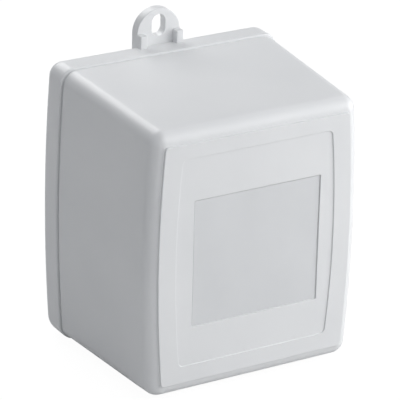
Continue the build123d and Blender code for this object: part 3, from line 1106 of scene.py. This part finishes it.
@dataclass
class BackPlate:
    """Moulded back with its rolled rim, its spigot inside the housing, posts, bosses and blade slots."""

    sizes: CaseSizes
    plug: "PlugBlades"
    top_radius: float = 4.3
    low_radius: float = 6.5
    wall_round: float = 4.0
    rim_round: float = 0.45
    spigot_gap: float = 0.3
    spigot_length: float = 3.0
    spigot_wall: float = 1.5
    blade_fit: float = 0.1
    boss_x: tuple[float, float] = (-12.55, 12.15)
    boss_radius: float = 2.7
    boss_hole: float = 1.33
    boss_depth: float = 4.6
    boss_hole_end: float = 1.3
    overrun: float = 1.0

    def outline(self) -> Outline:
        """Outline of the plate."""
        sizes = self.sizes
        return Outline(
            sizes.half_width, sizes.low, sizes.top, sizes.side_bow, self.low_radius, self.top_radius
        )

    def skin(self) -> Surface:
        """Skin of the plate from its wall face round the rim to the floor inside the spigot."""
        sizes = self.sizes
        outline = self.outline()
        across, up = quarter(270, 180, 14)
        wall_moved, wall_depth = self.wall_round * (1 + across), self.wall_round * (1 + up)
        across, up = quarter(180, 90, 7)
        rim_moved, rim_depth = self.rim_round * (1 + across), self.rim_round * (1 - up)
        inset = sizes.wall + self.spigot_gap
        spigot = sizes.housing_outline(sizes.plate_depth, inset)
        hollow = sizes.housing_outline(sizes.plate_depth, inset + self.spigot_wall)
        tip = sizes.plate_depth + self.spigot_length
        runs = [
            outline.stations(wall_depth, wall_moved),
            outline.stations(sizes.plate_depth - rim_depth, rim_moved),
            spigot.stations([sizes.plate_depth, tip], [0, 0]),
            hollow.stations([tip, sizes.back_wall], [0, 0]),
        ]
        return closed_surface(carried_rings(np.concatenate(runs)))

    def bosses(self, radius: float, start: float, end: float) -> list[Surface]:
        """Round bars along the depth at the two screw places.

        Args:
            radius: radius of a bar.
            start: depth at one end.
            end: depth at the other end.

        Returns:
            One surface for each bar.
        """
        bars = []
        for x in self.boss_x:
            rings = turned([(radius, start), (radius, end)])
            placed = np.stack([x + rings[..., 0], -rings[..., 2], self.plug.z + rings[..., 1]], axis=2)
            bars.append(closed_surface(placed))
        return bars

    def blade_slots(self) -> Surface:
        """Blocks that cut the two blade slots through the plate's wall."""
        fit, z, blades = self.blade_fit, self.plug.z, self.plug.blades.values()
        half = self.plug.thickness / 2 + fit
        lows = [(x - half, -self.sizes.back_wall - OVERLAP, z - width / 2 - fit) for x, width in blades]
        highs = [(x + half, self.overrun, z + width / 2 + fit) for x, width in blades]
        return solid_blocks(boxes(lows, highs))

    def build(self, wardrobe: Wardrobe) -> None:
        """Makes the plate with all that stands on its inner face.

        Args:
            wardrobe: where the finishes come from.
        """
        sizes = self.sizes
        plate = new_piece("case_back", self.skin())
        combine(plate, sizes.posts(sizes.back_wall - OVERLAP, sizes.core_back - sizes.pad_thickness), Cut.ADD)
        for boss in self.bosses(self.boss_radius, sizes.back_wall - OVERLAP, self.boss_depth):
            combine(plate, boss, Cut.ADD)
        for hole in self.bosses(self.boss_hole, self.boss_hole_end, self.boss_depth + self.overrun):
            combine(plate, hole, Cut.REMOVE)
        combine(plate, self.blade_slots(), Cut.REMOVE)
        smooth(plate)
        wardrobe.dress(plate, Slot.CASE, "back_plate")


@dataclass
class ScrewTab:
    """Slotted tab over the back plate with a gusset at each side."""

    x: float = -0.2
    radius: float = 7.25
    root_z: float = 39.425
    centre_z: float = 47.125
    thickness: float = 3.0
    slot_width: float = 4.6
    slot_height: float = 6.8
    slot_z: float = 49.265
    gusset_width: float = 2.3
    gusset_inset: float = 0.02
    gusset_start: float = 1.0
    gusset_reach: float = 5.3
    gusset_top: float = 47.325
    edge_round: float = 0.3
    slot_round: float = 0.06

    def loops(
        self, outer_in: float, slot_out: float, arc: int = 40, straight: int = 6
    ) -> tuple[np.ndarray, np.ndarray]:
        """Outer and slot outlines with matching points, about the tab's middle line.

        The outer one is two straight sides, a half circle of the tab's radius and the root. The slot is
        two straight sides and two half circles of half its width.

        Args:
            outer_in: how far the outer outline has moved in.
            slot_out: how far the slot's outline has moved out.
            arc: points round a half circle.
            straight: points along a side.

        Returns:
            Two arrays of x and z of shape (points, 2).
        """
        climb = np.linspace(0, 1, straight, endpoint=False)
        sweep = np.linspace(0, math.pi, arc, endpoint=False)
        rise = self.centre_z - self.root_z
        big = self.radius - outer_in
        small = self.slot_width / 2 + slot_out
        run = (self.slot_height - self.slot_width) / 2
        outer = [
            (big + 0 * climb, self.root_z + rise * climb),
            (big * np.cos(sweep), self.centre_z + big * np.sin(sweep)),
            (-big + 0 * climb, self.centre_z - rise * climb),
            (big * (2 * sweep / math.pi - 1), self.root_z + 0 * sweep),
        ]
        slot = [
            (small + 0 * climb, self.slot_z - run + 2 * run * climb),
            (small * np.cos(sweep), self.slot_z + run + small * np.sin(sweep)),
            (-small + 0 * climb, self.slot_z + run - 2 * run * climb),
            (-small * np.cos(sweep), self.slot_z - run - small * np.sin(sweep)),
        ]
        outer, slot = (np.concatenate([np.stack(pair, axis=1) for pair in loop]) for loop in (outer, slot))
        return outer, slot

    def plate(self) -> Surface:
        """Tab with its slot: outer wall, rounded front edges, slot wall and back as one closed ring."""
        outer_edge = zip(*rounded_edge(0.0, self.thickness, self.edge_round, 6))
        slot_edge = zip(*rounded_edge(0.0, self.thickness, self.slot_round, 6))
        outer = [(self.loops(moved, 0.0)[0], depth) for depth, moved in outer_edge]
        slot = [(self.loops(0.0, moved)[1], depth) for depth, moved in slot_edge]
        rings = np.stack(
            [np.stack([loop[:, 0] + self.x, np.full(len(loop), -depth), loop[:, 1]], axis=1)
             for loop, depth in outer + slot[::-1]]
        )
        return rings.reshape(-1, 3), ring_quads(*rings.shape[:2], wrapped=True)

    def gusset(self, way: int) -> Surface:
        """One gusset beside the slot, with its front edges and corners rounded.

        Args:
            way: -1 for the left one and 1 for the right one.

        Returns:
            Points and faces.
        """
        edge = self.edge_round
        half = (self.gusset_width - self.gusset_inset) / 2
        outline = Outline(half, self.root_z, self.gusset_top, STRAIGHT, edge, edge)
        section = rounded_edge(self.gusset_start, self.gusset_reach, edge, 6)
        rings = carried_rings(outline.stations(*section), flat=4, corner=6, side=6)
        rings[..., 0] += self.x + way * (self.radius - self.gusset_inset - half)
        return closed_surface(rings)

    def build(self, wardrobe: Wardrobe) -> None:
        """Makes the tab and its gussets.

        Args:
            wardrobe: where the finishes come from.
        """
        tab = new_piece("screw_tab", self.plate())
        for way in (-1, 1):
            combine(tab, self.gusset(way), Cut.ADD)
        smooth(tab)
        wardrobe.dress(tab, Slot.CASE, "back_plate")


@dataclass
class PlugBlades:
    """The two flat blades with their shoulders and tails."""

    z: float = 29.365
    thickness: float = 1.5
    length: float = 17.0
    hole_radius: float = 1.6
    hole_reach: float = 11.7
    tip: float = 1.3
    edge: float = 0.45
    wall: float = 2.6
    shoulder: float = 1.0
    shoulder_depth: float = 4.6
    tail_width: float = 4.0
    tail_end: float = 11.8
    corner: float = 0.22
    tip_corner: float = 0.12
    drill_reach: float = 2.0
    blades: dict[str, tuple[float, float]] = field(
        default_factory=lambda: {"neutral_blade": (-6.55, 7.94), "line_blade": (6.15, 6.35)}
    )

    def stations(self, width: float) -> np.ndarray:
        """Cross-sections from the tip to the tail's end.

        Args:
            width: width of the blade.

        Returns:
            Stations for carried_rings.
        """
        half, thick = width / 2, self.thickness / 2
        drop = self.tip / 2
        tall = half + self.shoulder
        tail = self.tail_width / 2
        rows = [
            (-self.length, thick - self.edge, half - drop, self.tip_corner),
            (-self.length + self.edge, thick, half - drop + drop * self.edge / self.tip, self.corner),
            (-self.length + self.tip, thick, half, self.corner),
            (self.wall, thick, half, self.corner),
            (self.wall, thick, tall, self.corner),
            (self.shoulder_depth, thick, tall, self.corner),
            (self.shoulder_depth, thick, tail, self.corner),
            (self.tail_end, thick, tail, self.corner),
        ]
        depth, across, up, radius = np.array(rows).T
        bow = np.full_like(depth, STRAIGHT)
        return np.stack([depth, across, self.z - up, self.z + up, bow, radius, radius], axis=1)

    def build(self, wardrobe: Wardrobe) -> None:
        """Makes both blades and drills their holes.

        Args:
            wardrobe: where the finishes come from.
        """
        for name, (x, width) in self.blades.items():
            rings = carried_rings(self.stations(width), flat=4, corner=6, side=6)
            rings[..., 0] += x
            blade = new_piece("plug_" + name, closed_surface(rings))
            bore = [(self.hole_radius, way * self.drill_reach) for way in (-1, 1)]
            drill = turned(bore, around=72)
            placed = np.stack(
                [x + drill[..., 2], self.hole_reach + drill[..., 0], self.z + drill[..., 1]], axis=2
            )
            combine(blade, closed_surface(placed), Cut.REMOVE)
            smooth(blade, sharp=30)
            wardrobe.dress(blade, Slot.BLADE, name)


@dataclass
class TerminalScrews:
    """Two slotted pan-head screws that hang in the wire bays."""

    places: tuple[float, float] = (-8.1, 8.1)
    depth: float = 50.75
    seat_z: float = -33.609
    head_radius: float = 3.3
    head_height: float = 2.2
    shank_radius: float = 1.75
    shank_length: float = 6.5
    slot_width: float = 0.9
    thread_pitch: float = 0.7
    thread_depth: float = 0.22
    thread_start: float = 0.3
    thread_stop: float = 0.6
    crown: float = 0.6
    neck: float = 0.1
    overrun: float = 1.0

    def profile(self) -> list[tuple[float, float]]:
        """Radius and height from the head's crown to the shank's tip, with the thread's ridges."""
        round_radius = self.head_height / 2
        across, up = quarter(270, 360, 9)
        middle = self.head_radius - round_radius
        head = zip(middle + round_radius * across, -self.head_height + round_radius * (1 + up))
        crests = np.arange(self.thread_start, self.shank_length - self.thread_stop, self.thread_pitch / 2)
        ridge = np.where(np.arange(len(crests)) % 2, self.shank_radius, self.shank_radius - self.thread_depth)
        tip = self.shank_radius * 2 / 3
        return [(self.crown, -self.head_height), *head, (self.head_radius, 0.0),
                (self.shank_radius - self.neck, 0.0), *zip(ridge, crests), (tip, self.shank_length)]

    def build(self, wardrobe: Wardrobe) -> None:
        """Makes both screws with their driver slots.

        Args:
            wardrobe: where the finishes come from.
        """
        wide, slot = self.head_radius + self.overrun, self.slot_width / 2
        for side, x in zip(("left", "right"), self.places):
            rings = turned(self.profile()) + np.array([x, -self.depth, self.seat_z])
            screw = new_piece("terminal_screw_" + side, closed_surface(rings))
            low = self.seat_z - self.head_height - self.overrun
            high = self.seat_z - self.head_height / 2
            groove = boxes([(x - wide, -self.depth - slot, low)], [(x + wide, -self.depth + slot, high)])
            combine(screw, solid_blocks(groove), Cut.REMOVE)
            smooth(screw, sharp=40)
            wardrobe.dress(screw, Slot.STEEL, "terminal_screws")


@dataclass
class FrameNodes:
    """Frame nodes that keep their own shape and only get a finish."""

    rounded: dict[str, tuple[Slot, float]] = field(
        default_factory=lambda: {
            "terminal_block": (Slot.NYLON, 0.15),
            "terminal_plate_left": (Slot.PLATED, 0.12),
            "terminal_plate_right": (Slot.PLATED, 0.12),
            "blade_retainer": (Slot.NYLON, 0.15),
        }
    )
    plain: dict[str, Slot] = field(
        default_factory=lambda: {
            "retainer_screws": Slot.STEEL,
            "core_e_plates": Slot.CORE,
            "core_i_plates": Slot.CORE,
            "bobbin": Slot.NYLON,
            "primary_winding": Slot.COPPER,
            "secondary_winding": Slot.COPPER,
            "primary_tape": Slot.TAPE,
            "secondary_tape": Slot.TAPE,
            "thermal_cutoff": Slot.CAN,
            "line_lead": Slot.BLACK_LEAD,
            "neutral_lead": Slot.WHITE_LEAD,
            "secondary_lead_left": Slot.YELLOW_LEAD,
            "secondary_lead_right": Slot.YELLOW_LEAD,
            "insulation_card": Slot.CARD,
            "core_pads": Slot.PAD,
        }
    )

    def build(self, wardrobe: Wardrobe) -> None:
        """Finishes every node, and rounds the edges of those that can be seen.

        Args:
            wardrobe: where the finishes come from.
        """
        for name, (slot, width) in self.rounded.items():
            wardrobe.paint_node(name, slot)
            smooth(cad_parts[name], sharp=30, bevel=width, weld=True)
        for name, slot in self.plain.items():
            wardrobe.paint_node(name, slot)


# studio


@dataclass(frozen=True)
class Lamp:
    """Square soft lamp that looks at the object."""

    name: str
    toward: Colour
    distance: float
    size: float
    power: float


@dataclass
class Studio:
    """Pale sweep, even white surroundings, soft lamps and the camera."""

    centre: Colour = (0.0, -0.032, 0.0)
    floor_z: float = -43.425
    surround: float = 0.36
    surround_seen: float = 1.05
    surround_tint: Colour = (0.957, 0.982, 1.028)
    paper_colour: Colour = (0.72, 0.72, 0.72)
    paper_glow: float = 1.07
    paper_glow_share: float = 0.9
    lamps: tuple[Lamp, ...] = (
        Lamp("key", (0.35, -0.66, 0.66), 1.4, 1.1, 6.6),
        Lamp("right", (0.95, -0.5, 0.2), 0.55, 0.35, 1.75),
        Lamp("rim", (0.0, 0.75, 0.66), 0.5, 0.3, 1.05),
    )
    turn: float = -31.22
    tilt: float = 23.31
    roll: float = 1.51
    camera_distance: float = 858.9
    camera_target: Colour = (0.0, -32.37, 0.425)
    aim_shift: tuple[float, float] = (-1.765, 3.554)
    lens: float = 263.58
    sensor: float = 36.0
    clip: tuple[float, float] = (0.01, 20.0)
    paper_near: float = -3.0
    paper_far: float = 1.2
    paper_top: float = 3.2
    paper_bend: float = 0.6
    paper_half_width: float = 3.0
    paper_columns: int = 5

    def sweep(self) -> None:
        """Floor that curves up into a backdrop.

        The section is flat, then a quarter circle, then upright, carried across x, in metres.
        """
        bend, far, columns = self.paper_bend, self.paper_far, self.paper_columns
        angle = np.linspace(0, math.pi / 2, 17)
        along = np.concatenate([[self.paper_near, far / 2], far + bend * np.sin(angle), [far + bend]])
        height = np.concatenate([[0.0, 0.0], bend * (1 - np.cos(angle)), [self.paper_top]])
        across = np.linspace(-self.paper_half_width, self.paper_half_width, columns)
        rows = (across[None], along[:, None], height[:, None] + self.floor_z * MM)
        spread = [np.broadcast_to(values, (len(along), columns)) for values in rows]
        points = np.stack(spread, axis=2).reshape(-1, 3)
        row, column = np.meshgrid(np.arange(len(along) - 1), np.arange(columns - 1), indexing="ij")
        corner = row * columns + column
        quads = np.stack([corner, corner + 1, corner + columns + 1, corner + columns], axis=2).reshape(-1, 4)
        floor = new_piece("studio_sweep", (points / MM, quads.tolist()))
        floor.data.polygons.foreach_set("use_smooth", np.ones(len(quads), bool))
        floor.data.materials.append(self.paper())

    def paper(self) -> Material:
        """White paper, clear from behind, that the camera sees as white with a faint shadow."""
        material = bpy.data.materials.new("studio_paper")
        graph = Graph(material)
        rays = graph.add("ShaderNodeLightPath").outputs
        side = graph.add("ShaderNodeNewGeometry").outputs["Backfacing"]
        clear = graph.add("ShaderNodeBsdfTransparent").outputs[0]
        cloth = graph.add("ShaderNodeBsdfDiffuse", Color=(*self.paper_colour, 1)).outputs[0]
        glow = graph.add("ShaderNodeEmission", Strength=self.paper_glow).outputs[0]
        seen = graph.calculate("MULTIPLY", rays["Is Camera Ray"], self.paper_glow_share)
        shown = graph.mix(side, graph.mix(seen, cloth, glow), clear)
        graph.join(shown, graph.add("ShaderNodeOutputMaterial").inputs["Surface"])
        return material

    def surroundings(self) -> None:
        """World that lights softly and looks white to the camera and in reflections."""
        world = bpy.data.worlds.new("studio_world")
        graph = Graph(world)
        rays = graph.add("ShaderNodeLightPath").outputs
        seen = graph.calculate("MAXIMUM", rays["Is Camera Ray"], rays["Is Glossy Ray"])
        seen = graph.calculate("MAXIMUM", seen, rays["Is Transmission Ray"])
        level = graph.add("ShaderNodeMapRange", To_Min=self.surround, To_Max=self.surround_seen)
        graph.join(seen, level.inputs["Value"])
        back = graph.add("ShaderNodeBackground", Color=(*self.surround_tint, 1))
        graph.join(level.outputs["Result"], back.inputs["Strength"])
        graph.join(back.outputs[0], graph.add("ShaderNodeOutputWorld").inputs["Surface"])
        bpy.context.scene.world = world

    def light(self) -> None:
        """Hangs the lamps and turns them to the object."""
        centre = Vector(self.centre)
        for lamp in self.lamps:
            data = bpy.data.lights.new(lamp.name, "AREA")
            data.shape = "SQUARE"
            data.size = lamp.size
            data.energy = lamp.power
            holder = bpy.data.objects.new(lamp.name, data)
            toward = Vector(lamp.toward).normalized()
            holder.location = centre + toward * lamp.distance
            holder.rotation_euler = toward.to_track_quat("Z", "Y").to_euler()
            bpy.context.scene.collection.objects.link(holder)

    def camera(self) -> None:
        """Sets the camera at the photograph's angle.

        The camera looks back along (sin a cos e, -cos a cos e, sin e), is rolled about that line, and aims
        a little beside the target so that the object lies in the frame as it does there.
        """
        turn, tilt, roll = (math.radians(angle) for angle in (self.turn, self.tilt, self.roll))
        back = Vector((math.sin(turn) * math.cos(tilt), -math.cos(turn) * math.cos(tilt), math.sin(tilt)))
        level = Vector((math.cos(turn), math.sin(turn), 0))
        upright = back.cross(level)
        right = math.cos(roll) * level + math.sin(roll) * upright
        up = -math.sin(roll) * level + math.cos(roll) * upright
        target = Vector(self.camera_target)
        place = target + back * self.camera_distance
        aim = target + right * self.aim_shift[0] + up * self.aim_shift[1]
        away = (place - aim).normalized()
        right = up.cross(away).normalized()
        up = away.cross(right)
        data = bpy.data.cameras.new("camera")
        data.lens = self.lens
        data.sensor_width = self.sensor
        data.clip_start, data.clip_end = self.clip
        camera = bpy.data.objects.new("camera", data)
        turned_axes = Matrix((right, up, away)).transposed().to_4x4()
        camera.matrix_world = Matrix.Translation(place * MM) @ turned_axes
        bpy.context.scene.collection.objects.link(camera)
        bpy.context.scene.camera = camera

    def build(self) -> None:
        """Makes the whole studio."""
        self.sweep()
        self.surroundings()
        self.light()
        self.camera()
        bpy.context.scene.view_settings.view_transform = "Standard"


def main() -> None:
    """Builds the studio and every piece in order."""
    logging.basicConfig(level=logging.INFO, format="%(message)s")
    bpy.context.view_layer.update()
    Studio().build()
    sizes = CaseSizes()
    housing = FrontHousing(sizes)
    wardrobe = Wardrobe()
    plug = PlugBlades()
    case = (housing, RatingLabel(housing), BackPlate(sizes, plug), ScrewTab())
    parts = (*case, plug, TerminalScrews(), FrameNodes())
    for part in parts:
        part.build(wardrobe)
        LOG.info("%s done", type(part).__name__)


if __name__ == "__main__":
    main()
